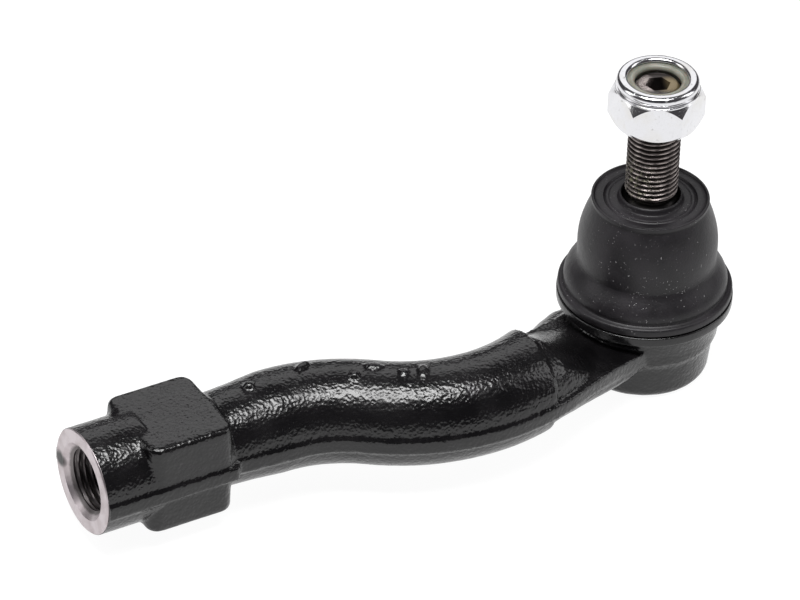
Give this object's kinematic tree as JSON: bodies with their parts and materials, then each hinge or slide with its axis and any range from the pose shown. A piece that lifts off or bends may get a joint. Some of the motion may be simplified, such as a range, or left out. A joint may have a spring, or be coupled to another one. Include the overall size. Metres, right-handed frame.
{
  "type": "outer tie rod end",
  "caption": "Forged steering tie rod end: S-bent arm with a female rod thread and spanner block, and a sealed ball joint whose threaded stud carries a self-locking nut.",
  "frame": {"origin": "centre of the ball, on the axis of the rod's thread", "axes": "+Z along the ball stud, out of its nut; -X along the rod thread's axis, out of its mouth; the arm's bend goes to -Y"},
  "size_m": [0.1649, 0.0479, 0.0787],
  "materials": {
    "black_paint": "glossy black paint over a rough forged skin, machined bare steel at the thread's mouth",
    "black_plate": "black painted pressed steel",
    "bare_steel": "plain steel, machined or sprung",
    "seat_plastic": "moulded acetal, greased",
    "stud_steel": "phosphated alloy steel, dark brown grey, oily",
    "boot_ring": "black pressed steel ring",
    "boot_rubber": "matte black rubber with dust specks",
    "zinc_plate": "bright zinc plate with light handling marks",
    "nylon": "grey olive nylon"
  },
  "bodies": {
    "socket": {"housing": "black_paint", "end_plate": "black_plate", "preload_spring": "bare_steel", "lower_ball_seat": "seat_plastic", "upper_ball_seat": "seat_plastic", "boot_base_ring": "boot_ring"},
    "boot": {"dust_boot": "boot_rubber"},
    "boot_lip": {"boot_top_ring": "bare_steel"},
    "stud": {"ball_stud": "stud_steel"},
    "insert": {"nylon_insert": "nylon"},
    "nut": {"lock_nut": "zinc_plate"}
  },
  "joints": [
    {"name": "stud_swing", "type": "hinge", "parent": "socket", "child": "boot", "pos_m": [0, 0, 0], "axis": [0, 1, 0], "range_deg": [-18, 18], "deforming": ["dust_boot"]},
    {"name": "stud_tilt", "type": "hinge", "parent": "boot", "child": "boot_lip", "pos_m": [0, 0, 0], "axis": [1, 0, 0], "range_deg": [-18, 18]},
    {"name": "stud_spin", "type": "hinge", "parent": "boot_lip", "child": "stud", "pos_m": [0, 0, 0], "axis": [0, 0, 1], "continuous": true},
    {"name": "nut_travel", "type": "slide", "parent": "stud", "child": "insert", "axis": [0, 0, 1], "range_m": [-0.0175, 0.03]},
    {"name": "nut_spin", "type": "hinge", "parent": "insert", "child": "nut", "pos_m": [0, 0, 0.0508], "axis": [0, 0, 1], "range_deg": [-5045, 8645]}
  ],
  "couplings": [
    {"joint": "nut_spin", "follows": "nut_travel", "rad_per_m": 5026.5}
  ]
}
